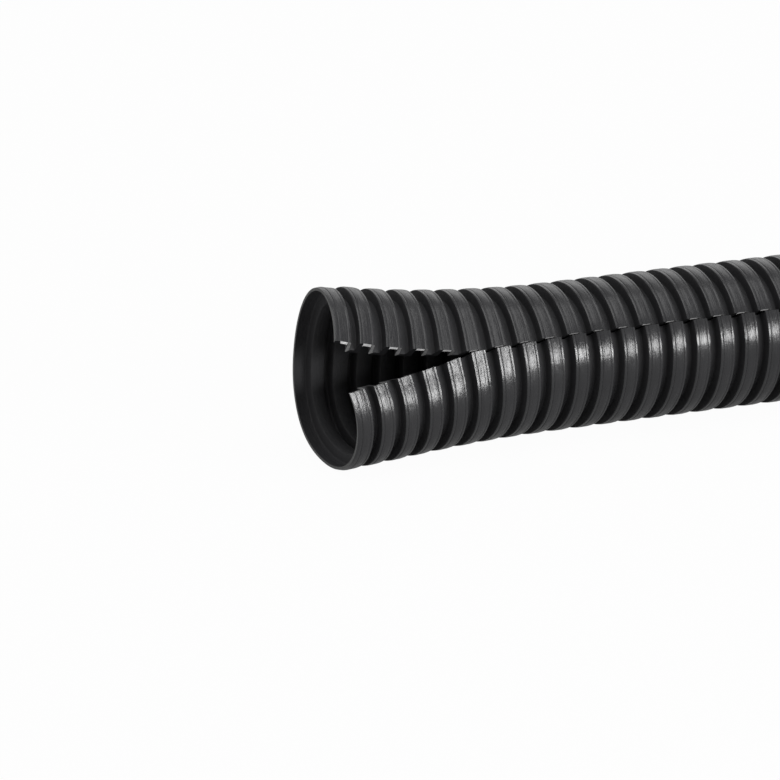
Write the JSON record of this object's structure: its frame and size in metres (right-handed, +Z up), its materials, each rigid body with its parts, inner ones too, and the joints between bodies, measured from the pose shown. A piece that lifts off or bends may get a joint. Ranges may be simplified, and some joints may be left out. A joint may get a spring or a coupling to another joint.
{
  "type": "slit corrugated conduit",
  "caption": "Black slit corrugated conduit, a metre of ribbed plastic tube with one end prised open in a V for laying cables in.",
  "frame": {"origin": "on the floor, under the middle of the bounding box", "axes": "+X along the tube from its open end to its round end, +Y away from the slit, +Z up"},
  "size_m": [0.9948, 0.0728, 0.0336],
  "materials": {
    "conduit": "semi-gloss black polypropylene, moulded"
  },
  "bodies": {
    "root": {"conduit": "conduit"}
  },
  "joints": []
}
